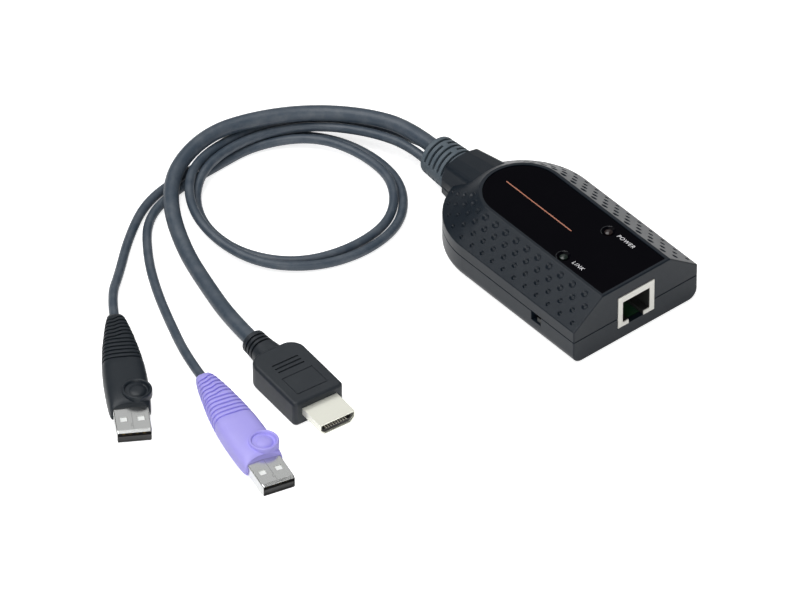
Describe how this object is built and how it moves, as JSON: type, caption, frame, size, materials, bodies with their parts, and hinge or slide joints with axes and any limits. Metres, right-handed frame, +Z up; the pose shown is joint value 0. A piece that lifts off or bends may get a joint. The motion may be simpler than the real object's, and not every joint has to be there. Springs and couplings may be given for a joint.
{
  "type": "kvm adapter dongle",
  "caption": "Flat arch-ended adapter housing with a network jack, dimpled slopes and a ribbed strain relief; captive cables end in two serial-bus plugs and a video plug.",
  "frame": {"origin": "centre of the underside of the housing with its strain relief, on the surface it stands on (cables and plugs left out)", "axes": "+Y from the network jack towards the strain relief and cables, +X to the right seen from the jack, +Z up"},
  "size_m": [0.1991, 0.1659, 0.0235],
  "materials": {
    "housing": "fine satin texture",
    "label_film": "high gloss",
    "light_pipe": "clear, frosted tip",
    "board": "solder mask",
    "jack_metal": "tin plate",
    "jack_plastic": "satin",
    "gold": "gold plated",
    "component_black": "satin",
    "can_metal": "satin",
    "lamp_white": "clear",
    "header_white": "satin",
    "lead_jacket": "satin",
    "screw_steel": "zinc plated",
    "switch_black": "satin",
    "boot_rubber": "matte",
    "cable_jacket": "satin",
    "plug_black": "satin",
    "plug_violet": "satin",
    "plug_steel": "bright nickel",
    "video_steel": "bright nickel",
    "tongue_black": "satin"
  },
  "bodies": {
    "adapter": {"lower_cover": "housing", "upper_cover": "housing", "top_label": "label_film", "power_lens": "light_pipe", "link_lens": "light_pipe", "circuit_board": "board", "network_jack_shield": "jack_metal", "network_jack_insert": "jack_plastic", "network_jack_contacts": "gold", "network_transformer": "component_black", "main_chip": "component_black", "video_chip": "component_black", "memory_chip": "component_black", "flash_chip": "component_black", "crystal": "can_metal", "capacitors": "can_metal", "status_lamps": "lamp_white", "wire_headers": "header_white", "cable_leads": "lead_jacket", "case_screws": "screw_steel", "switch_frame": "can_metal", "strain_relief": "boot_rubber", "video_cable": "cable_jacket", "black_cable": "cable_jacket", "violet_cable": "cable_jacket", "black_plug_body": "plug_black", "black_plug_shell": "plug_steel", "black_plug_tongue": "tongue_black", "black_plug_contacts": "gold", "violet_plug_body": "plug_violet", "violet_plug_shell": "plug_steel", "violet_plug_tongue": "tongue_black", "violet_plug_contacts": "gold", "video_plug_body": "plug_black", "video_plug_shell": "video_steel", "video_plug_insert": "tongue_black", "video_plug_contacts": "gold"},
    "mode_knob": {"switch_slider": "switch_black"}
  },
  "joints": [
    {"name": "mode_slide", "type": "slide", "parent": "adapter", "child": "mode_knob", "axis": [0, 1, 0], "range_m": [0, 0.002]}
  ]
}
